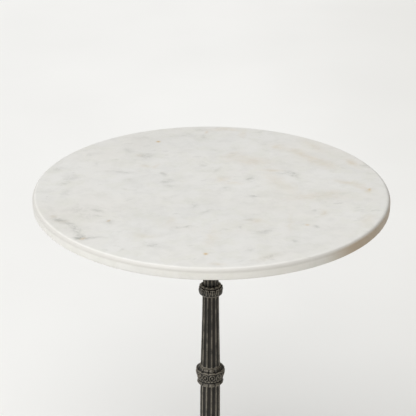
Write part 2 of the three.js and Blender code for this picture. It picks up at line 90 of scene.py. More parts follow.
CAMERA_DISTANCE = 2.6  # from the middle of the tabletop
CAMERA_ELEVATION = math.radians(23.456)  # of the line from the tabletop's middle to the camera
CAMERA_PITCH = math.radians(24.15)  # below level
CAMERA_LEFT = 0.0057  # of the table's axis
CAMERA_ROLL = math.radians(0.3)
LENS = 131.45  # in millimetres, like the sensor's width
SENSOR = 36.0
CLIP_END = 1000  # in metres
FLOOR_REACH = 300  # in metres, so that the floor ends beyond what a camera shows

WINDOW_AZIMUTH = math.radians(-31)  # from straight in front of the table, so to its left
WINDOW_ELEVATION = math.radians(55)
WINDOW_SPREAD = math.radians(60)
BRIGHT_SIDE = (-0.46, -0.28, 0.84)  # of the room, as a direction


def make_camera():
    data = bpy.data.cameras.new("camera")
    data.lens = LENS
    data.sensor_width = SENSOR
    data.clip_end = CLIP_END
    camera = new_object("camera", data)
    camera.location = (
        -CAMERA_LEFT,
        -CAMERA_DISTANCE * math.cos(CAMERA_ELEVATION),
        TABLE_HEIGHT + CAMERA_DISTANCE * math.sin(CAMERA_ELEVATION),
    )
    level = Matrix.Rotation(math.pi / 2 - CAMERA_PITCH, 3, "X") @ Matrix.Rotation(CAMERA_ROLL, 3, "Z")
    camera.rotation_euler = level.to_euler()
    bpy.context.scene.camera = camera


def make_light():
    """A broad window high in front and to the left, in a room that is bright there and dim opposite."""
    level = math.cos(WINDOW_ELEVATION)
    toward = Vector((
        math.sin(WINDOW_AZIMUTH) * level,
        -math.cos(WINDOW_AZIMUTH) * level,
        math.sin(WINDOW_ELEVATION),
    ))
    data = bpy.data.lights.new("window", "SUN")
    data.energy = 1.8
    data.angle = WINDOW_SPREAD
    data.color = (1.0, 0.995, 0.985)
    lamp = new_object("window", data)
    lamp.location = toward * 4
    lamp.rotation_euler = toward.to_track_quat("Z", "Y").to_euler()

    world = bpy.data.worlds.new("room")
    world.use_nodes = True
    tree = world.node_tree
    way = add_node(tree, "ShaderNodeTexCoord").outputs["Generated"]
    facing = vectors("DOT_PRODUCT", way, tuple(Vector(BRIGHT_SIDE).normalized()))
    bright = ranged(facing, 0.0, 0.90)
    colour = mixed(bright, (0.040, 0.034, 0.026), (0.96, 0.96, 0.96))
    background = tree.nodes["Background"]
    tree.links.new(colour, background.inputs["Color"])
    background.inputs["Strength"].default_value = 0.9
    bpy.context.scene.world = world
    bpy.context.scene.view_settings.view_transform = "Standard"


# ---------------- node helpers


def new_material(name):
    """A material, and its socket for a place on the object."""
    material = bpy.data.materials.new(name)
    material.use_nodes = True
    return material, add_node(material.node_tree, "ShaderNodeTexCoord").outputs["Object"]


def add_node(tree, kind, inputs=(), **settings):
    """A node with its settings, and with each input given a value or linked to a socket."""
    node = tree.nodes.new(kind)
    for key, value in settings.items():
        setattr(node, key, value)
    for key, value in dict(inputs).items():
        if isinstance(value, bpy.types.NodeSocket):
            tree.links.new(value, node.inputs[key])
        else:
            node.inputs[key].default_value = value
    return node


def add_after(kind, inputs, **settings):
    """A node in the tree that the sockets among its inputs belong to."""
    tree = next(value.id_data for value in inputs.values() if isinstance(value, bpy.types.NodeSocket))
    return add_node(tree, kind, inputs, **settings)


def maths(operation, first, second, clamp=False):
    return add_after("ShaderNodeMath", {0: first, 1: second}, operation=operation, use_clamp=clamp).outputs[0]


def plus(first, second, clamp=False):
    return maths("ADD", first, second, clamp)


def times(first, second):
    return maths("MULTIPLY", first, second)


def vectors(operation, first, second):
    """A calculation with two vectors, which gives a number for a dot product and otherwise a vector."""
    outputs = add_after("ShaderNodeVectorMath", {0: first, 1: second}, operation=operation).outputs
    return outputs[1 if operation == "DOT_PRODUCT" else 0]


def mixed(factor, first, second):
    """From the first colour to the second, each a socket or (red, green, blue)."""
    colours = [(*colour, 1.0) if isinstance(colour, tuple) else colour for colour in (first, second)]
    return add_after("ShaderNodeMix", {0: factor, 6: colours[0], 7: colours[1]}, data_type="RGBA").outputs[2]


def noise_at(vector, scale, detail=3.0, roughness=0.5, output="Fac"):
    values = {"Vector": vector, "Scale": scale, "Detail": detail, "Roughness": roughness}
    return add_after("ShaderNodeTexNoise", values).outputs[output]


def ranged(value, low, high, to_low=0.0, to_high=1.0):
    """A smooth step of a value between low and high."""
    values = {"Value": value, "From Min": low, "From Max": high, "To Min": to_low, "To Max": to_high}
    return add_after("ShaderNodeMapRange", values, interpolation_type="SMOOTHSTEP").outputs["Result"]


def bumped(height, distance):
    values = {"Height": height, "Distance": distance, "Strength": 1.0}
    return add_after("ShaderNodeBump", values).outputs["Normal"]


def parts_of(vector):
    return add_after("ShaderNodeSeparateXYZ", {0: vector}).outputs


def shade(material, **sockets):
    """The material, with its own shader's sockets set or linked. Their names have _ for spaces."""
    shader = material.node_tree.nodes["Principled BSDF"]
    for key, value in sockets.items():
        socket = shader.inputs[key.replace("_", " ")]
        if isinstance(value, bpy.types.NodeSocket):
            material.node_tree.links.new(value, socket)
        else:
            socket.default_value = value
    return material


# ---------------- marble

# Soft marks in the stone, as (x, y, turn in degrees, half length, half width, strength), in millimetres.
GREY_MARKS = [
    (-206, -196, 20, 10, 8, 0.85), (-222, -160, -62, 34, 8, 0.55), (-245, -124, -45, 16, 7, 0.45),
    (-222, -86, 5, 22, 13, 0.26), (-184, -91, -30, 10, 5, 0.42), (-168, -132, 60, 9, 6, 0.35),
    (-200, -112, 10, 20, 12, 0.22), (-116, 149, -35, 14, 10, 0.50), (-150, 175, -40, 10, 6, 0.40),
    (-158, 75, -8, 22, 6, 0.30), (-84, 65, 80, 7, 4, 0.50), (-76, 35, 25, 16, 9, 0.40),
    (-70, 14, 10, 14, 6, 0.22), (-246, 46, 70, 13, 8, 0.38), (-256, 20, 15, 13, 8, 0.36),
    (-247, -20, 80, 13, 7, 0.28), (-217, 152, 60, 10, 6, 0.22), (-204, 115, 90, 12, 6, 0.22),
    (20, 2, 60, 10, 6, 0.35), (66, 45, 85, 10, 6, 0.48), (71, -26, 10, 12, 8, 0.42),
    (4, 88, 30, 12, 7, 0.24), (-15, 115, 90, 10, 7, 0.24), (141, 74, -60, 19, 7, 0.60),
    (122, 76, 10, 12, 5, 0.35), (-30, -66, 80, 16, 8, 0.28), (-7, -96, 45, 12, 6, 0.26),
    (-90, -220, -35, 16, 10, 0.42), (-43, -155, 12, 16, 4, 0.42), (88, -165, 50, 14, 8, 0.36),
    (64, -125, 0, 8, 6, 0.22), (169, -145, 0, 5, 4, 0.45), (130, -204, 0, 5, 4, 0.35),
    (86, -264, 32, 17, 6, 0.40), (60, -240, 30, 10, 6, 0.24), (-44, 254, 0, 12, 8, 0.30),
    (-8, 247, 90, 10, 5, 0.30), (-18, 282, 0, 10, 6, 0.26), (-275, 85, 40, 14, 8, 0.22),
    (-185, -197, 0, 9, 6, 0.32), (-140, -240, 0, 7, 5, 0.30),
]
TAN_MARKS = [
    (70, 132, -12, 34, 20, 0.55), (40, 158, 60, 30, 12, 0.30), (122, 201, 10, 12, 8, 0.50),
    (155, 172, -48, 34, 11, 0.50), (196, 124, -48, 40, 13, 0.55), (190, 205, -60, 30, 10, 0.32),
    (252, 120, -55, 18, 8, 0.75), (106, 88, 6, 18, 5, 0.60), (118, 30, -60, 52, 18, 0.40),
    (20, 44, 70, 13, 10, 0.50), (42, 28, 10, 12, 6, 0.40), (180, -30, 4, 52, 16, 0.46),
    (205, -12, 20, 22, 9, 0.35), (238, 34, -20, 18, 9, 0.70), (260, 10, -35, 20, 8, 0.50),
    (272, 1, 80, 10, 5, 0.90), (184, -96, 80, 10, 5, 0.60), (258, -125, 80, 24, 14, 0.36),
    (76, -126, 0, 13, 9, 0.55), (128, -135, 85, 34, 6, 0.28), (-66, -126, 85, 14, 6, 0.35),
    (-105, -184, 0, 16, 8, 0.40), (0, -190, 85, 30, 8, 0.36), (-128, 152, 0, 10, 7, 0.45),
    (-118, 103, 0, 12, 6, 0.50), (-97, 104, 90, 10, 4, 0.40), (26, 284, 2, 34, 8, 0.45),
    (60, 262, 85, 20, 6, 0.40), (86, -264, 32, 20, 8, 0.30), (14, -290, 0, 10, 6, 0.50),
    (-240, -130, 0, 8, 6, 0.45), (-258, -112, 0, 6, 5, 0.45), (-60, -150, -20, 40, 14, 0.16),
    (60, -150, 10, 60, 30, 0.14),
]
RUST_SPECKS = [
    (-98, 221, 0, 3.5, 3.5, 1.00), (-9, -252, 0, 3.2, 3.5, 1.00), (-168, -130, 60, 4, 2, 0.50),
    (-205, -199, 40, 5, 3, 0.50), (156, -142, 0, 3.5, 3, 0.50), (-9, 270, 80, 6, 3, 0.30),
    (271, 4, 80, 5, 2, 0.55),
]


def marks(place, listed):
    """The sum of soft elliptical marks at a place."""
    total = 0.0
    for x, y, degrees, length, width, strength in listed:
        turn = math.radians(degrees)
        along = (math.cos(turn) / (length * MM), math.sin(turn) / (length * MM), 0)
        across = (-math.sin(turn) / (width * MM), math.cos(turn) / (width * MM), 0)
        offset = vectors("SUBTRACT", place, (x * MM, y * MM, 0))
        first = vectors("DOT_PRODUCT", offset, along)
        second = vectors("DOT_PRODUCT", offset, across)
        squares = plus(times(first, first), times(second, second))
        total = plus(total, times(maths("POWER", math.exp(-1), squares), strength))
    return total


def marble_material():
    """White stone with grey veins, tan clouds and rust specks, with painted shade on its rounded top edge,
    and its edge on the +X side darker and tan: partly tan in the stone, partly painted shade.
    """
    material, place = new_material("white_marble")
    swirl = vectors("SUBTRACT", noise_at(place, 26.0, 4.0, output="Color"), (0.5, 0.5, 0.5))
    warped = vectors("ADD", place, vectors("MULTIPLY", swirl, (0.03, 0.03, 0.03)))
    stretched = vectors("MULTIPLY", warped, (34.0, 78.0, 60.0))

    grain = noise_at(warped, 120.0, 6.0, 0.65)
    clouds = noise_at(warped, 7.0, 5.0, 0.55)
    haze = ranged(clouds, 0.40, 0.75, 0.0, 0.10)
    flecks = ranged(noise_at(stretched, 1.0, 4.0, 0.6), 0.60, 0.80, 0.0, 0.34)
    mottle = ranged(noise_at(warped, 48.0, 6.0, 0.62), 0.40, 0.72, 0.0, 0.13)
    drift = ranged(noise_at(place, 4.0), 0.40, 0.70, 0.0, 0.22)
    moss = ranged(noise_at(warped, 30.0, 5.0, 0.6), 0.44, 0.66, 0.0, 0.38)

    veins = times(marks(warped, GREY_MARKS), ranged(grain, 0.36, 0.62, 0.18, 1.25))
    veins = plus(plus(veins, flecks), plus(haze, mottle), clamp=True)
    tan = times(marks(warped, TAN_MARKS), ranged(grain, 0.30, 0.66, 0.60, 1.4))
    tan = plus(tan, drift, clamp=True)
    rust = plus(marks(place, RUST_SPECKS), 0.0, clamp=True)

    parts = parts_of(place)
    below = maths("SUBTRACT", TABLE_HEIGHT, parts["Z"])
    # Painted shade on the rounded top edge, which dulls the highlight there.
    arris_painted_shade = times(ranged(below, 0.0003, 0.002), ranged(below, 0.009, 0.005, 0.0, 0.90))
    edge = ranged(below, 0.001, 0.006)
    # The rim's side, greyer in cloudy patches.
    rim_greying = times(edge, ranged(clouds, 0.3, 0.7, 0.08, 0.26))
    # The edge on the +X side: partly tan in the stone, partly painted shade of that shaded side of the rim.
    tan_and_painted_shade = times(edge, ranged(parts["X"], 0.165, 0.235))

    colour = mixed(tan, (0.808, 0.804, 0.780), (0.738, 0.684, 0.594))
    colour = mixed(moss, colour, (0.735, 0.735, 0.668))
    colour = mixed(veins, colour, (0.455, 0.460, 0.430))
    colour = mixed(times(rust, 0.8), colour, (0.600, 0.400, 0.150))
    # Painted shade on the rounded top edge, and greyer cloudy patches on the rim's side.
    colour = mixed(plus(arris_painted_shade, rim_greying), colour, (0.620, 0.607, 0.575))
    # Darker tan on the +X edge: tan stone and painted shade together.
    colour = mixed(tan_and_painted_shade, colour, (0.47, 0.385, 0.290))
    polish = ranged(noise_at(warped, 60.0, 4.0), 0.3, 0.7, 0.36, 0.48)
    pores = bumped(noise_at(place, 900.0, 3.0, 0.7), 0.00004)
    return shade(material, Base_Color=colour, Roughness=polish, Normal=pores)


# ---------------- metal, rubber, plastic and the floor


def iron_material():
    """Dark cast iron with a sandy skin in two browns near black, lighter where it is rubbed."""
    material, place = new_material("cast_iron")
    wear = add_node(material.node_tree, "ShaderNodeAttribute", attribute_name="wear").outputs["Fac"]
    blotch = noise_at(place, 55.0, 5.0, 0.6)
    grit = noise_at(place, 700.0, 4.0, 0.65)
    rubbed = plus(wear, ranged(blotch, 0.3, 0.7, -0.16, 0.16))
    rubbed = plus(rubbed, ranged(grit, 0.3, 0.7, -0.10, 0.10))
    rubbed = ranged(rubbed, 0.60, 0.92)
    blotched = ranged(blotch, 0.35, 0.65)
    skin = mixed(blotched, (0.012, 0.0115, 0.0095), (0.023, 0.0195, 0.0155))
    gritty = ranged(grit, 0.3, 0.7)
    worn = mixed(gritty, (0.145, 0.131, 0.106), (0.225, 0.202, 0.166))
    rough = plus(times(grit, 0.5), times(blotch, 0.5))
    rough = ranged(rough, 0.35, 0.65, 0.40, 0.56)
    height = plus(times(grit, 0.6), times(noise_at(place, 190.0), 0.6))
    return shade(
        material,
        Base_Color=mixed(rubbed, skin, worn),
        Metallic=0.35,
        Specular_IOR_Level=0.45,
        Roughness=maths("SUBTRACT", rough, times(rubbed, 0.08)),
        Normal=bumped(height, 0.00035),
    )


def plated_material(name, colour, dull, rough):
    """A turned or plated metal with fine brushing and dull spots."""
    material, place = new_material(name)
    brushing = noise_at(vectors("MULTIPLY", place, (160.0, 160.0, 1800.0)), 1.0)
    spots = ranged(noise_at(place, 240.0, 4.0), 0.42, 0.68)
    return shade(
        material,
        Base_Color=mixed(spots, colour, dull),
        Metallic=1.0,
        Roughness=ranged(brushing, 0.3, 0.7, rough - 0.08, rough + 0.12),
        Normal=bumped(brushing, 0.00004),
    )


def soft_material(name, colour, dusty, rough, grain_scale, depth):
    """Rubber or moulded plastic with a fine grain and a little dust."""
    material, place = new_material(name)
    grain = noise_at(place, grain_scale, 4.0, 0.6)
    dust = ranged(noise_at(place, 90.0, 5.0), 0.45, 0.75, 0.0, 0.6)
    return shade(
        material,
        Base_Color=mixed(dust, colour, dusty),
        Roughness=ranged(grain, 0.3, 0.7, rough - 0.06, rough + 0.08),
        Normal=bumped(grain, depth),
    )


def floor_material():
    """A pale floor with painted shade: a little dimmer towards +X and, in front of the table, towards the
    right.
    """
    material, place = new_material("pale_floor")
    tone = ranged(noise_at(place, 0.7), 0.35, 0.65)
    parts = parts_of(place)
    forward = maths("SUBTRACT", times(parts["X"], 0.8), times(parts["Y"], 0.6))
    pale = mixed(tone, (0.865, 0.865, 0.85), (0.89, 0.89, 0.875))
    painted_shade_tone = mixed(tone, (0.75, 0.745, 0.72), (0.78, 0.775, 0.75))
    # Painted shade: the floor darker towards +X, and darker again in front of the table to the right.
    colour = mixed(ranged(parts["X"], -0.2, 1.5), pale, painted_shade_tone)
    colour = mixed(ranged(forward, 0.14, 0.95), colour, (0.755, 0.730, 0.665))
    rough = ranged(noise_at(place, 3.0, 4.0), 0.3, 0.7, 0.75, 0.9)
    return shade(material, Base_Color=colour, Roughness=rough)


# ---------------- mesh helpers


def mesh_object(name, vertices, faces, material, sharp_degrees=38):
    """An object from vertices in millimetres."""
    mesh = bpy.data.meshes.new(name)
    mesh.from_pydata((np.asarray(vertices) * MM).tolist(), [], faces)
    mesh.validate()
    mesh.update()
    return finished(name, mesh, material, sharp_degrees)


def finished(name, mesh, material, sharp_degrees):
    """A smooth-shaded object of one material, with its sharp edges kept."""
    mesh.materials.clear()
    mesh.materials.append(material)
    mesh.shade_smooth()
    mesh.set_sharp_from_angle(angle=math.radians(sharp_degrees))
    return new_object(name, mesh)


def mark_wear(thing, reach=3.0):
    """Stores at each vertex how much it would be rubbed: 0 in a hollow, about 0.5 on a flat and 1 on a ridge.
    reach is the size of the shapes, in millimetres, that count as hollows and ridges."""
    mesh = thing.data
    count = len(mesh.vertices)
    place = np.zeros(count * 3)
    normal = np.zeros(count * 3)
    mesh.vertices.foreach_get("co", place)
    mesh.vertices.foreach_get("normal", normal)
    place, normal = place.reshape(-1, 3) / MM, normal.reshape(-1, 3)
    edges = np.zeros(len(mesh.edges) * 2, int)
    mesh.edges.foreach_get("vertices", edges)
    first, second = edges.reshape(-1, 2).T
    degree = np.maximum(np.bincount(edges, minlength=count), 1)

    def neighbours(values):
        """The mean of each vertex's neighbours."""
        sums = [np.bincount(first, v[second], count) + np.bincount(second, v[first], count) for v in values.T]
        return np.stack(sums, axis=1) / degree[:, None]

    spacing = float(np.median(np.linalg.norm(place[first] - place[second], axis=1)))
    passes = int(np.clip((reach / max(spacing, 0.1)) ** 2, 4, 60))
    smoothed = place
    for _ in range(passes):
        smoothed = neighbours(smoothed)
    proud = ((place - smoothed) * normal).sum(axis=1)
    wear = np.clip(0.5 + proud / (0.30 * reach), 0, 1)
    attribute = mesh.attributes.new("wear", "FLOAT", "POINT")
    attribute.data.foreach_set("value", wear.astype(np.float32))


def arc(radius, height, size, start, end, steps):
    """Points of an arc in the radius-height plane, with angles in degrees from outward."""
    return [
        (radius + size * math.cos(math.radians(a)), height + size * math.sin(math.radians(a)))
        for a in np.linspace(start, end, steps + 1)
    ]


def divided(points, step):
    """The outline with its straight stretches cut into pieces no longer than step."""
    out = [points[0]]
    for (r0, z0), (r1, z1) in zip(points, points[1:]):
        pieces = max(1, math.ceil(math.dist((r0, z0), (r1, z1)) / step))
        out += [(r0 + (r1 - r0) * k / pieces, z0 + (z1 - z0) * k / pieces) for k in range(1, pieces + 1)]
    return out


def with_ends(points):
    """The points as an array, with one more at each end in line with the last two."""
    p = np.array(points, float)
    return np.vstack([2 * p[0] - p[1], p, 2 * p[-1] - p[-2]])


def curve_point(a, b, c, d, t):
    """The point at share t of the smooth curve from b to c, whose neighbours are a and d."""
    return 0.5 * (2 * b + (c - a) * t + (2 * a - 5 * b + 4 * c - d) * t**2 + (3 * b - a - 3 * c + d) * t**3)


def flowing(points, step):
    """A smooth curve through the points, with a point about every step."""
    row = with_ends(points)
    out = [tuple(row[1])]
    for a, b, c, d in zip(row, row[1:], row[2:], row[3:]):
        pieces = max(1, math.ceil(np.linalg.norm(c - b) / step))
        out += [tuple(curve_point(a, b, c, d, k / pieces)) for k in range(1, pieces + 1)]
    return out


def flowing_rows(points, count):
    """A smooth curve through points of any dimension, as count points spread evenly between them."""
    row = with_ends(points)
    out = []
    for t in np.linspace(0, len(points) - 1, count):
        i = min(int(t), len(points) - 2)
        out.append(curve_point(*row[i:i + 4], t - i))
    return np.array(out)


def raised(bottom, points):
    """An outline of (radius, height) with its heights counted from bottom."""
    return [(r, bottom + up) for r, up in points]


def turned(name, outline, segments, material, relief=None, lift=None, sharp_degrees=38):
    """Turns an outline of (radius, height) about Z, outside going up. It closes on itself unless its ends are
    on the axis. relief(angle, height, radius) gives how far each point stands out along the outline's own
    normal, and lift how far it is raised."""
    solid = outline[0][0] == 0
    points = np.array(outline, float)
    ahead = np.roll(points, -1, axis=0)
    behind = np.roll(points, 1, axis=0)
    if solid:
        ahead[-1], behind[0] = points[-1], points[0]
    tangent = ahead - behind
    tangent /= np.maximum(np.linalg.norm(tangent, axis=1, keepdims=True), 1e-9)
    angle = np.arange(segments) * TURN / segments
    grid_angle, grid_radius = np.meshgrid(angle, points[:, 0])
    grid_height = np.meshgrid(angle, points[:, 1])[1]
    lifted = 0 if lift is None else lift(grid_angle, grid_height, grid_radius)
    if relief is not None:
        proud = relief(grid_angle, grid_height, grid_radius)
        grid_radius = grid_radius + proud * tangent[:, 1:2]
        grid_height = grid_height - proud * tangent[:, 0:1]
    place = [grid_radius * np.cos(grid_angle), grid_radius * np.sin(grid_angle), grid_height + lifted]
    vertices = np.stack(place, axis=-1).reshape(-1, 3)
    rows = len(points)
    faces = []
    for i in range(rows - 1 if solid else rows):
        here, above = i * segments, ((i + 1) % rows) * segments
        for j in range(segments):
            k = (j + 1) % segments
            if solid and i == 0:
                faces.append((0, above + k, above + j))
            elif solid and i == rows - 2:
                faces.append((here + j, here + k, above))
            else:
                faces.append((here + j, here + k, above + k, above + j))
    return without_loose(mesh_object(name, vertices, faces, material, sharp_degrees))


def without_loose(thing):
    """Removes vertices that no face uses."""
    work = bmesh.new()
    work.from_mesh(thing.data)
    loose = [v for v in work.verts if not v.link_faces]
    bmesh.ops.delete(work, geom=loose, context="VERTS")
    work.to_mesh(thing.data)
    work.free()
    return thing


def hollow(outside, bottom, top):
    """Closes a casting's outside with its spigot above, its bore, and its socket below."""
    spigot = raised(top, [(SPIGOT_RADIUS, 0), (SPIGOT_RADIUS, SPIGOT_HEIGHT), (BORE_RADIUS, SPIGOT_HEIGHT)])
    socket = raised(bottom, [(BORE_RADIUS, SOCKET_DEPTH), (SOCKET_RADIUS, SOCKET_DEPTH), (SOCKET_RADIUS, 0)])
    return outside + spigot + socket


def place_piece(thing, body, slot, *nodes):
    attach(thing, body)
    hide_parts(*nodes)


def finish_iron(thing, node, reach=3.0):
    mark_wear(thing, reach)
    place_piece(thing, "table", "cast_iron", node)


# ---------------- the column

RIDGE_PHASE = 8 / 30  # the ridges stand this share of a flute's width round from the X axis
VALLEY_PHASE = RIDGE_PHASE + 0.5
FLUTE_RIDGE = 0.30  # share of a flute's width that is flat ridge


def smooth(value):
    value = np.clip(value, 0, 1)
    return value * value * (3 - 2 * value)


def across_cells(angle, count, phase=0.0):
    """-1 to 1 across each of count equal cells, with 0 in the middle of a cell."""
    share = angle * count / TURN - phase
    return 2 * (share - np.round(share))


def within(value, low, low_fade, high, high_fade):
    """1 between low and high, and 0 outside them, with a fade inside each."""
    return smooth((value - low) / low_fade) * smooth((high - value) / high_fade)


def bell(value, middle, width):
    return np.exp(-(((value - middle) / width) ** 2))


def flutes(depth, low, high, waist):
    """Hollow flutes with rounded ends, between two heights. waist is the shaft's radius there."""
    half_width = 0.5 * TURN * waist / FLUTES * (1 - FLUTE_RIDGE)

    def relief(angle, height, radius):
        sideways = np.abs(across_cells(angle, FLUTES, VALLEY_PHASE)) / (1 - FLUTE_RIDGE)
        past = np.maximum(low + half_width - height, height - (high - half_width)).clip(0) / half_width
        hollow_part = np.clip(1 - sideways**2 - past**2, 0, 1) ** 0.4
        return np.where(radius > waist * 0.8, -depth * hollow_part, 0)

    return relief


def shaft(name, radii, depth, margins):
    """A fluted, tapering length of column. radii are (radius, share of the height) from the foot up, and
    margins are how far inside the casting's ends its flutes stop."""
    low, high = extent(name)
    bottom, top = low.z, high.z - SPIGOT_HEIGHT
    outside = divided(flowing([(r, bottom + share * (top - bottom)) for r, share in radii], 6), 1.6)
    relief = flutes(depth, bottom + margins[0], top - margins[1], min(r for r, _ in radii))
    thing = turned(name + "_fluted", hollow(outside, bottom, top), FLUTES * 16, IRON, relief)
    finish_iron(thing, name)


def petals(angle, height, count, phase, root, tip, proud, blunt=2.0):
    """A ring of rounded petals from a root height to a tip height, with a rim and a rib on each."""
    sideways = across_cells(angle, count, phase)
    along = (height - root) / (tip - root)
    width = np.sqrt(np.clip(1 - np.clip(along, 0, 1) ** (2 * blunt), 0, 1)) * 0.96
    inside = (np.abs(sideways) < width) & (along > 0) & (along < 1)
    share = np.where(inside, sideways / np.maximum(width, 1e-6), 1)
    crown = np.sqrt(np.clip(1 - share**2, 0, 1))
    rib = 0.35 * bell(sideways, 0, 0.15) * smooth((1 - along) * 3)
    rim = 0.30 * bell(np.maximum(np.abs(share), along), 0.86, 0.12)
    return np.where(inside, proud * (crown * 0.6 + rib + rim) * smooth(along * 6 + 0.2), 0)


def upper_knop():
    """A bulb of petals under the neck, whose tips curl over a wavy groove below a fluted shoulder."""
    bottom = extent("upper_knop")[0].z
    floor = extent("neck_casting")[0].z - 0.3
    points = [
        (14.3, 0), (17.2, 0.3), (19.4, 1.2), (20.7, 2.7), (20.4, 3.8), (20.0, 5.2), (20.2, 7.0),
        (20.4, 9.2), (20.1, 11.2), (19.6, 13.0), (19.0, 14.4), (18.5, 15.4), (18.5, 16.3), (18.7, 17.0),
        (18.0, 18.0), (16.6, 18.8), (15.4, 19.0), (14.9, 18.2), (14.8, 17.0),
    ]
    outside = flowing(raised(bottom, points) + [(14.7, floor)], 0.45)

    def relief(angle, height, radius):
        up = height - bottom
        sideways = across_cells(angle, FLUTES, RIDGE_PHASE)
        outer = smooth((radius - 15.2) / 0.6)
        below_tips = smooth((15.6 - up) / 1.2)
        body = petals(angle, height, FLUTES, RIDGE_PHASE, bottom + 3.6, bottom + 17.2, 1.5, 2.2)
        small = petals(angle, height, FLUTES, VALLEY_PHASE, bottom + 3.6, bottom + 10.4, 1.1)
        between = -0.9 * bell(np.abs(sideways), 1, 0.13) * within(up, 6, 3, 15.6, 1.2)
        lip = 0.8 * bell(up, 14.4, 0.7) * (1 - 0.3 * sideways**2)
        groove = -1.0 * bell(up, 15.9, 0.5)
        channels = -0.6 * smooth(np.abs(sideways) * 1.5 - 0.4) * smooth((up - 16.4) / 0.6)
        leaves = np.maximum(body, small) * below_tips
        return np.where((up > 3.4) & (radius > 15), (leaves + between + lip + groove + channels) * outer, 0)

    def lift(angle, height, radius):
        notch = np.abs(across_cells(angle, FLUTES, RIDGE_PHASE)) ** 2
        return -1.3 * notch * within(height - bottom, 9, 5, 18.4, 2) * (radius > 15.2)

    thing = turned("knop_bulb", hollow(outside, bottom, floor), FLUTES * 20, IRON, relief, lift)
    finish_iron(thing, "upper_knop", 1.7)


def middle_collar():
    """A collar of egg-shaped arches under a ring of leaf tips, over beads and a lobed round moulding."""
    low, high = extent("middle_collar")
    bottom, top = low.z, high.z - SPIGOT_HEIGHT
    points = [
        (17.4, 0), (21.4, 0.1), (23.2, 0.9), (23.9, 2.4), (23.5, 4.2), (22.4, 6.0), (20.9, 7.2),
        (20.6, 8.2), (22.2, 9.4), (23.3, 10.6), (23.2, 12.0), (22.8, 13.0), (23.0, 14.0), (23.7, 16.0),
        (24.6, 18.6), (25.1, 21.6), (25.3, 24.4), (24.9, 25.8), (24.5, 26.6), (25.6, 27.6), (25.6, 28.8),
        (24.4, 30.0), (22.8, 30.4), (21.8, 31.0), (20.6, 32.4), (19.0, 33.9),
    ]
    outside = flowing(raised(bottom, points) + [(17.6, top)], 0.45)
    low_arch, high_arch = 13.4, 26.4

    def relief(angle, height, radius):
        up = height - bottom
        sideways = across_cells(angle, FLUTES, RIDGE_PHASE)
        dome = np.sqrt(np.clip(1 - sideways**2, 0, 1))
        tips = (1.7 * dome - 1.0) * within(radius, 17.4, 1.2, 23.2, 1.0) * (up > 30)
        share = (up - low_arch) / (high_arch - low_arch)
        from_egg = np.sqrt((sideways / 0.74) ** 2 + ((share - 0.44) / 0.48) ** 2)
        arch = 1.2 * bell(from_egg, 1, 0.17) - 1.9 * bell(from_egg, 0.62, 0.22) + 0.9 * bell(from_egg, 0, 0.3)
        arch = arch - 0.9 * bell(np.abs(sideways), 1, 0.1) * smooth(1.4 - share * 2)
        arch = arch * within(up, low_arch, 1.2, high_arch, 0.8)
        bead = np.sqrt(np.clip(1 - across_cells(angle, 2 * FLUTES, 2 * RIDGE_PHASE) ** 2, 0, 1))
        beads = (1.1 * bead - 0.9) * within(up, 8.4, 0.8, 12.8, 0.8)
        lobes = (1.3 * dome - 1.3) * within(up, 0.4, 0.8, 7.2, 0.8)
        return np.where(radius > 17.4, tips + arch + beads + lobes, 0)

    def lift(angle, height, radius):
        wave = np.abs(across_cells(angle, FLUTES, RIDGE_PHASE)) ** 2
        return -0.9 * wave * within(height - bottom, 25, 2, 32, 1.5) * (radius > 20)

    thing = turned("collar_of_arches", hollow(outside, bottom, top), FLUTES * 20, IRON, relief, lift)
    finish_iron(thing, "middle_collar", 1.7)


def base_vase():
    """A gadrooned vase on a wide foot, under the lower shaft."""
    low, high = extent("base_vase")
    bottom, top = low.z, high.z - SPIGOT_HEIGHT
    points = [
        (34.0, 0), (35.0, 1.0), (34.8, 2.8), (33.0, 4.0), (30.2, 5.6), (27.4, 7.8), (26.0, 10.2),
        (26.8, 12.0), (28.1, 14.0), (28.6, 17.5), (28.0, 21.5), (25.6, 26.0), (22.2, 30.0), (20.4, 32.6),
        (20.7, 33.9), (22.4, 35.3), (22.8, 37.2), (21.9, 39.2), (20.2, 40.6),
    ]
    outside = flowing(raised(bottom, points) + [(19.2, top)], 0.7)

    def relief(angle, height, radius):
        gadroons = petals(angle, height, FLUTES, RIDGE_PHASE, bottom + 10.4, bottom + 34.0, 1.5, 2.6)
        leaves = petals(angle, height, FLUTES, VALLEY_PHASE, bottom + 10.4, bottom + 3.0, 0.9)
        return np.where(radius > 19, gadroons + leaves, 0)

    thing = turned("base_vase_gadrooned", hollow(outside, bottom, top), FLUTES * 16, IRON, relief)
    finish_iron(thing, "base_vase", 2.2)


# ---------------- castings made solid from overlapping shapes


def loft(rings, material):
    """Joins equal rings of points with a skin, and closes each end with a fan."""
    count = len(rings[0])
    points = [p for ring in rings for p in ring]
    faces = []
    for i in range(len(rings) - 1):
        for j in range(count):
            k = (j + 1) % count
            faces.append((i * count + j, i * count + k, (i + 1) * count + k, (i + 1) * count + j))
    for ring, order in ((0, -1), (len(rings) - 1, 1)):
        centre = len(points)
        points.append(tuple(np.mean(rings[ring], axis=0)))
        for j in range(count):
            pair = (ring * count + j, ring * count + (j + 1) % count)
            faces.append((centre, *pair[::order]))
    return mesh_object("loft", points, faces, material)


def tube(path, sizes, material, sides=12):
    """A round bar along a path in the XZ plane, with a size at each of its points."""
    path = np.array(path, float)
    tangent = np.gradient(path, axis=0)
    tangent /= np.linalg.norm(tangent, axis=1, keepdims=True)
    rings = []
    for (x, y, z), (tx, _, tz), size in zip(path, tangent, sizes):
        circle = [(size * math.cos(a), size * math.sin(a)) for a in np.arange(sides) * TURN / sides]
        rings.append([(x - tz * up, y + side, z + tx * up) for up, side in circle])
    return loft(rings, material)


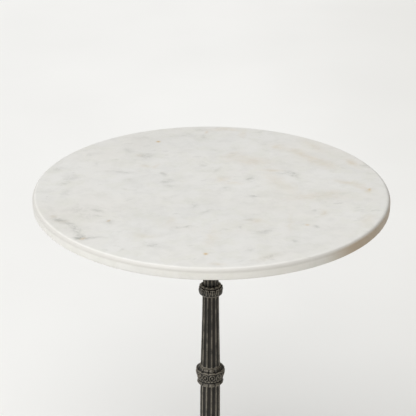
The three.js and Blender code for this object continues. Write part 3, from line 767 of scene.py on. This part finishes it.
def cylinder(radius, start, end, axis="Z", at=(0, 0, 0), sides=40):
    """A closed cylinder along an axis, in millimetres, as a cutter or a part of a casting."""
    work = bmesh.new()
    size, depth = radius * MM, (end - start) * MM
    bmesh.ops.create_cone(work, cap_ends=True, segments=sides, radius1=size, radius2=size, depth=depth)
    move = Matrix.Translation(Vector(at) * MM)
    if axis == "X":
        move = move @ Matrix.Rotation(math.pi / 2, 4, "Y")
    move = move @ Matrix.Translation((0, 0, (start + end) / 2 * MM))
    bmesh.ops.transform(work, matrix=move, verts=work.verts)
    mesh = bpy.data.meshes.new("cutter")
    work.to_mesh(mesh)
    work.free()
    return new_object("cutter", mesh)


def turned_about(thing, degrees):
    thing.data.transform(Matrix.Rotation(math.radians(degrees), 4, "Z"))
    return thing


def merged(things):
    """One object that holds every piece's mesh, still overlapping."""
    work = bmesh.new()
    for thing in things:
        work.from_mesh(thing.data)
    keeper = things[0]
    work.to_mesh(keeper.data)
    work.free()
    for thing in things[1:]:
        bpy.data.objects.remove(thing)
    return keeper


def drill(thing, cutters):
    """Cuts the cutters out of a thing, once its modifiers are applied."""
    cut = thing.modifiers.new("drill", "BOOLEAN")
    cut.operation = "DIFFERENCE"
    cut.solver = "EXACT"
    cut.object = merged(cutters)


def with_modifiers(thing, name, material, sharp_degrees=38):
    """A new object from the mesh that a thing's modifiers make. The thing and its cutters are removed."""
    tree = bpy.context.evaluated_depsgraph_get()
    tree.update()
    mesh = bpy.data.meshes.new_from_object(thing.evaluated_get(tree))
    cutters = [m.object for m in thing.modifiers if m.type == "BOOLEAN"]
    for old in [thing] + cutters:
        bpy.data.objects.remove(old)
    return finished(name, mesh, material, sharp_degrees)


def cast(name, things, voxel, material, cutters, smoothing):
    """One solid casting from overlapping shapes, with softened edges, drilled by the cutters."""
    whole = merged(things)
    remesh = whole.modifiers.new("solid", "REMESH")
    remesh.mode = "VOXEL"
    remesh.voxel_size = voxel * MM
    soften = whole.modifiers.new("soften", "SMOOTH")
    soften.iterations = smoothing
    soften.factor = 0.5
    drill(whole, cutters)
    return with_modifiers(whole, name, material)


# ---------------- the legs, their hub and the spider

# Stations along a leg, as (distance out, height, depth, width).
LEG_STATIONS = [
    (32.6, 143, 78, 22),
    (62, 143, 62, 20),
    (95, 131, 46, 18),
    (128, 107, 36, 16),
    (158, 77, 29, 15),
    (188, 50, 25, 15),
    (214, 36, 24, 17),
    (232, 32, 24, 20),
]
SCROLL_CENTRE = (51, 106)
SCROLL_RADIUS = 12.6
SCROLL_HALF_WIDTH = 6.6
FOOT_CIRCLE = 237  # radius of the ring of feet
VOXEL = 0.95


def leg_section(share, depth, width):
    """Points (sideways, up) of a leg's section: a bar with a sunk panel on each side and a bead on top."""
    half_width, half_depth = width / 2, depth / 2
    corner = min(3.5, half_width * 0.45)
    outline = []
    for sx, sy, start in ((1, 1, 0), (-1, 1, 90), (-1, -1, 180), (1, -1, 270)):
        outline += arc(sx * (half_width - corner), sy * (half_depth - corner), corner, start, start + 90, 6)
    closed = np.array(divided(outline + outline[:1], 1.0))
    length = np.concatenate([[0], np.cumsum(np.linalg.norm(np.diff(closed, axis=0), axis=1))])
    even = np.linspace(0, length[-1], 96, endpoint=False)
    x, y = np.interp(even, length, closed[:, 0]), np.interp(even, length, closed[:, 1])
    panel_edge = half_depth - 5.5
    sunk = smooth((panel_edge - np.abs(y)) / 1.6) * within(share, 0.10, 0.05, 0.84, 0.05)
    sunk = sunk * (np.abs(x) > half_width - 0.5)
    x = x - np.sign(x) * 1.8 * sunk
    spine = bell(x, 0, half_width * 0.42) * (y > half_depth - 1)
    leaf = 0.5 + 0.5 * math.cos(TURN * 7 * share) if share < 0.5 else 0.35
    y = y + spine * (1.0 + 1.3 * leaf)
    return x, y


def leg_bar():
    """A leg's curved bar, along +X."""
    rows = flowing_rows(LEG_STATIONS, 84)
    tangent = np.gradient(rows[:, :2], axis=0)
    tangent /= np.linalg.norm(tangent, axis=1, keepdims=True)
    tangent[0] = (1, 0)
    rings = []
    for i, (out, height, depth, width) in enumerate(rows):
        level, steep = tangent[i]
        section = zip(*leg_section(i / (len(rows) - 1), depth, width))
        rings.append([(out - steep * up, side, height + level * up) for side, up in section])
    return loft(rings, IRON)


def cheek(radius, half_width, side):
    """A disc across the leg, round the middle of the scroll."""
    thing = cylinder(radius, -half_width, half_width)
    place = Vector((SCROLL_CENTRE[0], side, SCROLL_CENTRE[1])) * MM
    thing.data.transform(Matrix.Translation(place) @ Matrix.Rotation(math.pi / 2, 4, "X"))
    return thing


def scroll():
    """The volute under the knee: a boss with a spiral bead on each side."""
    x0, z0 = SCROLL_CENTRE
    pieces = [cheek(SCROLL_RADIUS, SCROLL_HALF_WIDTH, 0)]
    turns = np.linspace(0, 1, 90)
    angle = math.radians(75) - turns * TURN * 1.9
    radius = SCROLL_RADIUS - 8.4 * turns
    for side in (-SCROLL_HALF_WIDTH, SCROLL_HALF_WIDTH):
        path = np.stack([x0 + radius * np.cos(angle), 0 * angle + side, z0 + radius * np.sin(angle)], axis=1)
        pieces += [tube(path, 2.3 - 0.9 * turns, IRON), cheek(3.2, 2.4, side)]
    return pieces


def foot():
    """A round pad foot with toes, which tapers up into the leg."""
    z = extent("leg_1")[0].z
    points = [
        (15.6, 0.2), (17.8, 2.2), (18.9, 5.4), (18.6, 9.0), (16.6, 12.2), (14.2, 13.8), (13.6, 15.0),
        (14.4, 16.4), (14.2, 18.0), (12.4, 20.4), (11.2, 23.4), (10.4, 27.4), (9.4, 31.2), (6.2, 33.8),
        (0.6, 34.2),
    ]
    outline = [(0, z), (15.0, z)] + flowing(raised(z, points), 0.8) + [(0, z + 34.2)]

    def relief(angle, height, radius):
        toes = petals(angle, height, 10, 0.5, z + 13.2, z + 1.2, 1.2)
        return np.where(radius > 12, toes, 0)

    thing = turned("foot", outline, 80, IRON, relief)
    thing.data.transform(Matrix.Translation((FOOT_CIRCLE * MM, 0, 0)))
    return thing


def legs():
    """Three castings, each drilled for its glide and for its two bolts."""
    holes = [cylinder(4.3, 0, extent("glide_stud_1")[1].z + 5, at=(FOOT_CIRCLE, 0, 0), sides=24)]
    for place in ("lower", "upper"):
        holes.append(cylinder(4.4, 25, 55, "X", (0, 0, extent(f"leg_bolt_1_{place}")[0].z + 7.5), 24))
    master = cast("leg_casting_1", [leg_bar(), foot()] + scroll(), VOXEL, IRON, holes, 3)
    mark_wear(master, 5.0)
    for i, degrees in enumerate(LEG_ANGLES, 1):
        thing = master if i == 3 else new_object("leg_casting", master.data.copy())
        thing.name = f"leg_casting_{i}"
        turned_about(thing, degrees)
        place_piece(thing, "table", "cast_iron", f"leg_{i}")


def rounded_hexagon(angle, apothem, sharpness=26):
    """The radius of a hexagon with soft corners, with a face across each of 30, 90, 150... degrees."""
    total = sum(np.abs(np.cos(angle - math.radians(30 + 60 * k))) ** sharpness for k in range(3))
    return apothem * total ** (-1 / sharpness)


def leg_hub():
    """A hollow casting with faces for the legs and sunk panels between them, and the plate under it."""
    low, high = extent("leg_hub")
    bottom, shoulder, top = low.z, low.z + 86, high.z - SPIGOT_HEIGHT
    face, pocket = 32, 23  # distances from the axis of the outer faces and of the inner ones
    edge = [(face, shoulder - 2.4), (33.2, shoulder - 1.2)]
    outside = divided([(30.6, bottom), (face, bottom + 1.6)] + edge, 1.4)
    bead = raised(shoulder, [(33.6, 0), (35.4, 1.4), (36.0, 3.0), (35.6, 5.0)])
    outside += flowing(bead + [(34.4, top)], 0.7)
    inside = raised(top, [(SPIGOT_RADIUS, 0), (SPIGOT_RADIUS, SPIGOT_HEIGHT), (BORE_RADIUS, SPIGOT_HEIGHT)])
    inside += raised(bottom, [(BORE_RADIUS, 80), (pocket, 80), (pocket, 0)])

    def relief(angle, height, radius):
        hexagon = rounded_hexagon(angle, face) - face
        from_face = across_cells(angle, 3, 30 / 120) * 60  # degrees from the middle of a free face
        panel = smooth((17 - np.abs(from_face)) / 2.5) * within(height, bottom + 9, 2, shoulder - 11, 2)
        drop = smooth((3.6 - np.hypot(from_face * 0.55, height - bottom - 45)) / 2.5) * 1.6
        outer = (radius > 29) & (height < shoulder - 0.6)
        inner = np.where(np.abs(radius - pocket) < 0.01, pocket - rounded_hexagon(angle, pocket, 60), 0)
        return np.where(outer, hexagon - 1.7 * panel + drop, inner)

    thing = turned("leg_hub_casting", outside + inside, 216, IRON, relief)
    finish_iron(thing, "leg_hub")

    low, high = extent("hub_plate")
    rim = raised(low.z, [(24.4, 0), (25.6, 0.5), (27.6, 2.2), (29.0, 3.4)])
    outline = flowing(rim + [(28.8, high.z)], 0.7)
    outline += [(BORE_RADIUS, high.z), (BORE_RADIUS, low.z), (14.0, low.z), (20.0, low.z)]
    finish_iron(turned("hub_plate_cast", outline, 96, IRON), "hub_plate")


def arm_plate(top, thickness):
    """One arm of the spider along +X: a flat, tapering bar that ends in a round pad, over a deep rib."""
    reach = SCREW_CIRCLE
    half = [(r, 13 - 5 * (r - 12) / (reach - 26)) for r in np.linspace(12, reach - 13, 24)]
    side = [(r, -w) for r, w in half] + arc(reach, 0, 12, -135, 135, 30) + [(r, w) for r, w in half[::-1]]
    rings = []
    for height, inset in ((top - thickness, 0.9), (top - thickness + 0.9, 0), (top - 0.5, 0), (top, 0.5)):
        rings.append([(r, y * (1 - inset / max(abs(y), 1.5)), height) for r, y in side])
    rib_rings = []
    for t in np.linspace(0, 1, 30):
        r = 12 + t * (reach - 22 - 12)
        floor = top - 1 - ((1 - t) ** 2 * 26 + 2 * t * (1 - t) * 20 + t**2 * thickness)
        wall = [(3.5, top - 1), (3.5, floor + 2.4), (4.3, floor + 1.6), (3.5, floor + 0.4)]
        rib_rings.append([(r, -y, z) for y, z in wall] + [(r, 0, floor)] + [(r, y, z) for y, z in wall[::-1]])
    return [loft(rings, IRON), loft(rib_rings, IRON)]


def top_spider():
    """The four-armed bracket under the marble, with a moulded hub."""
    low, high = extent("top_spider")
    bottom, top = low.z, high.z
    points = [
        (16.2, 0), (18.2, 0.8), (18.9, 3.4), (18.0, 6.6), (18.9, 9.4), (22.6, 14.4), (25.4, 19.8), (26, 24),
    ]
    outline = [(0, bottom)] + flowing(raised(bottom, points), 0.9) + [(26, top - 0.6), (25.4, top), (0, top)]
    pieces = [turned("spider_hub", outline, 120, IRON)]
    cutters = [
        cylinder(BORE_RADIUS, bottom - 2, top + 2),
        cylinder(SOCKET_RADIUS, bottom - 2, bottom + SOCKET_DEPTH),
        cylinder(14, top - 16, top + 2),
    ]
    for degrees in ARM_ANGLES:
        pieces += [turned_about(thing, degrees) for thing in arm_plate(top, 8)]
        hole = cylinder(SCREW_HOLE_RADIUS, top - 20, top + 4, at=(SCREW_CIRCLE, 0, 0), sides=24)
        cutters.append(turned_about(hole, degrees))
    thing = cast("top_spider_casting", pieces, VOXEL * 1.1, IRON, cutters, 2)
    mark_wear(thing, 4.0)
    place_piece(thing, "table", "cast_iron", "top_spider")


# ---------------- rod, screws, washers and glides


def thread(angle, height, low, high, pitch, depth):
    """A right-hand thread cut into the skin of a rod between two heights."""
    groove = np.abs(2 * ((height / pitch - angle / TURN) % 1) - 1)
    return np.where((height > low) & (height < high), -depth * groove, 0)


def moved_over(thing, centre):
    """Moves a piece that was turned about Z over a centre."""
    thing.data.transform(Matrix.Translation(Vector((centre.x, centre.y, 0)) * MM))


def tie_rod():
    """The rod through the column, threaded for its nuts at the lower end."""
    low, high = extent("tie_rod")
    thread_end = extent("hub_plate")[1].z + 12
    outline = [(0, low.z), (ROD_RADIUS - 1.4, low.z)]
    outline += divided([(ROD_RADIUS, low.z + 1.4), (ROD_RADIUS, thread_end)], 0.35)
    outline += [(ROD_RADIUS, high.z - 1.4), (ROD_RADIUS - 1.4, high.z), (0, high.z)]

    def relief(angle, height, radius):
        return thread(angle, height, low.z + 1, thread_end - 1, 1.75, 0.75) * (radius > ROD_RADIUS - 0.1)

    thing = turned("tie_rod_threaded", outline, 40, STEEL, relief, sharp_degrees=30)
    place_piece(thing, "table", "steel", "tie_rod")


def hex_nut(node, bore, across):
    """A nut with chamfered corners, round the Z axis."""
    low, high = extent(node)
    middle, half = (low.z + high.z) / 2, (high.z - low.z) / 2
    face = across / 2
    outline = [(bore + 0.9, low.z), (face - 0.8, low.z)]
    outline += divided([(face, low.z + 0.01), (face, high.z - 0.01)], 0.5)
    outline += [(face - 0.8, high.z), (bore + 0.9, high.z), (bore, high.z - 0.9), (bore, low.z + 0.9)]

    def relief(angle, height, radius):
        corner = rounded_hexagon(angle + math.radians(30), face, 70) - face
        chamfer = across * 0.077 - 1.7 * smooth((np.abs(height - middle) - half + 2.2) / 2.2)
        return np.where(radius > face - 0.1, np.minimum(corner, np.maximum(chamfer, 0)), 0)

    thing = turned(node + "_hexagon", outline, 120, STEEL, relief, sharp_degrees=25)
    place_piece(thing, "table", "steel", node)


def washer(node, bore, outer, slot, soft=0.25):
    """A flat ring with softened edges, around the middle of its node."""
    low, high = extent(node)
    lower = [(bore, low.z + soft), (bore + soft, low.z), (outer - soft, low.z), (outer, low.z + soft)]
    upper = [(outer, high.z - soft), (outer - soft, high.z), (bore + soft, high.z), (bore, high.z - soft)]
    thing = turned(node + "_ring", lower + upper, 48, BY_SLOT[slot], sharp_degrees=50)
    moved_over(thing, (low + high) / 2)
    place_piece(thing, "table", slot, node)


def top_screw(node):
    """A pan-head screw with a cross recess, its head down."""
    low, high = extent(node)
    head = low.z + 4
    face = [(r, low.z + 0.10 * (r / 4.4) ** 2) for r in np.arange(0, 4.41, 0.2)]
    outline = face + arc(4.4, low.z + 1.3, 1.2, -75, 0, 6) + [(5.6, head - 0.5), (5.3, head), (3, head)]
    outline += divided([(3, head + 0.6), (3, high.z - 1)], 0.35) + [(2.2, high.z), (0, high.z)]

    def relief(angle, height, radius):
        across, down = np.abs(radius * np.cos(angle)), np.abs(radius * np.sin(angle))
        thin, long = np.minimum(across, down), np.maximum(across, down)
        cross = smooth((0.62 - thin) / 0.3) * smooth((2.7 - long) / 0.4)
        on_face = (height < low.z + 0.3) & (radius > 0)
        return np.where(on_face, -1.5 * cross, thread(angle, height, head + 2, high.z - 1.2, 1.0, 0.5))

    thing = turned(node + "_cross", outline, 64, STEEL, relief, sharp_degrees=30)
    moved_over(thing, (low + high) / 2)
    place_piece(thing, "table", "steel", node)


def glide_stud(i):
    """A threaded stud with a button at its foot and a hexagonal collar."""
    low, high = extent(f"glide_stud_{i}")
    collar = extent(f"glide_pad_{i}")[1].z + 0.3
    half = 6.5  # from the axis to a flat of the collar
    outline = raised(low.z, [(0, 0), (5.7, 0), (6, 0.3), (6, 2.4), (5.7, 2.7), (4, 2.7)])
    outline += raised(collar, [(4, 0), (6.1, 0)])
    outline += divided(raised(collar, [(half, 0.05), (half, 3.95)]), 0.5)
    outline += raised(collar, [(6.1, 4), (3.9, 4)])
    outline += divided([(3.9, collar + 4.6), (3.9, high.z - 1)], 0.3) + [(2.9, high.z), (0, high.z)]

    def relief(angle, height, radius):
        corner = np.minimum(rounded_hexagon(angle, half, 70) - half, 1.0)
        corner = corner * (1 - 0.6 * smooth((np.abs(height - collar - 2) - 1.1) / 0.9))
        screw = thread(angle, height, collar + 5, high.z - 1, 1.25, 0.55)
        return np.where(np.abs(radius - half) < 0.01, corner, screw)

    thing = turned(f"glide_stud_threaded_{i}", outline, 60, STEEL, relief, sharp_degrees=28)
    moved_over(thing, (low + high) / 2)
    place_piece(thing, f"stud_{i}", "steel", f"glide_stud_{i}")


def glide_pad(i):
    """A ribbed pad on the floor, hollow round the stud's button."""
    low, high = extent(f"glide_stud_{i}")
    skirt = [(12.6, 0), (13.9, 0.4), (14.8, 1.5), (14.9, 2.6), (14, 4.2), (12.6, 5.7), (11, 6.8), (10.4, 7)]
    outline = [(0, 0.5), (10.6, 0.5), (11.2, 0)] + flowing(skirt, 0.5)
    outline += [(4.6, 7), (4.3, 6.7), (4.3, 5.3), (6.3, 5.3), (6.3, 2), (0, 2)]

    def relief(angle, height, radius):
        grip = smooth(np.cos(angle * 24) + 0.4) * smooth((radius - 13.2) / 0.6)
        return 0.35 * grip * smooth((height - 0.3) / 0.4)

    thing = turned(f"glide_pad_moulded_{i}", outline, 144, PLASTIC, relief, sharp_degrees=35)
    moved_over(thing, (low + high) / 2)
    place_piece(thing, f"pad_{i}", "plastic", f"glide_pad_{i}")


# ---------------- the marble top


def marble_top():
    """The slab, with a wide round over its edge, a narrow one under it, and a blind hole for each screw."""
    low, high = TOP_LOW, TOP_HIGH
    radius = high.x
    outline = [(0, low.z), (radius * 0.5, low.z)] + arc(radius - 3, low.z + 3, 3, -90, 0, 6)
    outline += arc(radius - 7, high.z - 7, 7, 0, 90, 12) + [(radius * 0.5, high.z), (0, high.z)]
    slab = turned("slab", outline, 360, MARBLE, sharp_degrees=50)
    hole_top = extent("insert_1")[1].z + 0.3
    holes = [cylinder(5.2, low.z - 2, hole_top, at=(SCREW_CIRCLE, 0, 0), sides=32) for _ in ARM_ANGLES]
    drill(slab, [turned_about(hole, degrees) for hole, degrees in zip(holes, ARM_ANGLES)])
    place_piece(with_modifiers(slab, "marble_slab", MARBLE, 50), "table", "marble", "marble_top")


def make_floor():
    mesh = bpy.data.meshes.new("floor")
    corners = [(x * FLOOR_REACH, y * FLOOR_REACH, 0) for x, y in ((-1, -1), (1, -1), (1, 1), (-1, 1))]
    mesh.from_pydata(corners, [], [(0, 1, 2, 3)])
    mesh.materials.append(floor_material())
    new_object("floor", mesh)


make_camera()
make_light()
make_floor()

MARBLE = marble_material()
IRON = iron_material()
STEEL = plated_material("zinc_plated_steel", (0.40, 0.40, 0.39), (0.24, 0.24, 0.235), 0.40)
BRASS = plated_material("turned_brass", (0.62, 0.44, 0.18), (0.40, 0.27, 0.10), 0.30)
RUBBER = soft_material("black_rubber", (0.02, 0.02, 0.02), (0.07, 0.068, 0.062), 0.85, 600.0, 0.0002)
PLASTIC = soft_material("black_plastic", (0.025, 0.025, 0.026), (0.08, 0.078, 0.072), 0.5, 1400.0, 0.00008)
BY_SLOT = dict(marble=MARBLE, cast_iron=IRON, steel=STEEL, brass=BRASS, rubber=RUBBER, plastic=PLASTIC)

marble_top()
shaft("neck_casting", [(13.8, 0), (13.9, 0.2), (13.6, 1)], 1.9, (-4, 3))
upper_knop()
shaft("upper_shaft", [(17.7, 0), (17.05, 0.16), (15.95, 0.49), (15.0, 0.8), (14.7, 1)], 2.3, (0.6, -4))
middle_collar()
shaft("lower_shaft", [(18.7, 0), (18.3, 0.4), (18.1, 0.84), (17.4, 1)], 2.4, (4, -4))
base_vase()
leg_hub()
legs()
top_spider()
tie_rod()
for end in ("bottom", "top"):
    hex_nut(f"rod_nut_{end}", BORE_RADIUS, NUT_ACROSS_FLATS)
    washer(f"rod_washer_{end}", BORE_RADIUS, 12, "steel")
for number in range(1, len(ARM_ANGLES) + 1):
    washer(f"arm_pad_{number}", SCREW_HOLE_RADIUS, 11, "rubber", 0.4)
    washer(f"screw_washer_{number}", SCREW_HOLE_RADIUS, 6.5, "steel")
    top_screw(f"top_screw_{number}")
for number in range(1, len(LEG_ANGLES) + 1):
    glide_stud(number)
    glide_pad(number)

for entry in frame["record"]["subparts"]:
    node = frame["nodes"][entry["node"]]
    if not node.hide_render:
        for material_slot in node.material_slots:
            material_slot.material = BY_SLOT[entry["material_slot"]]
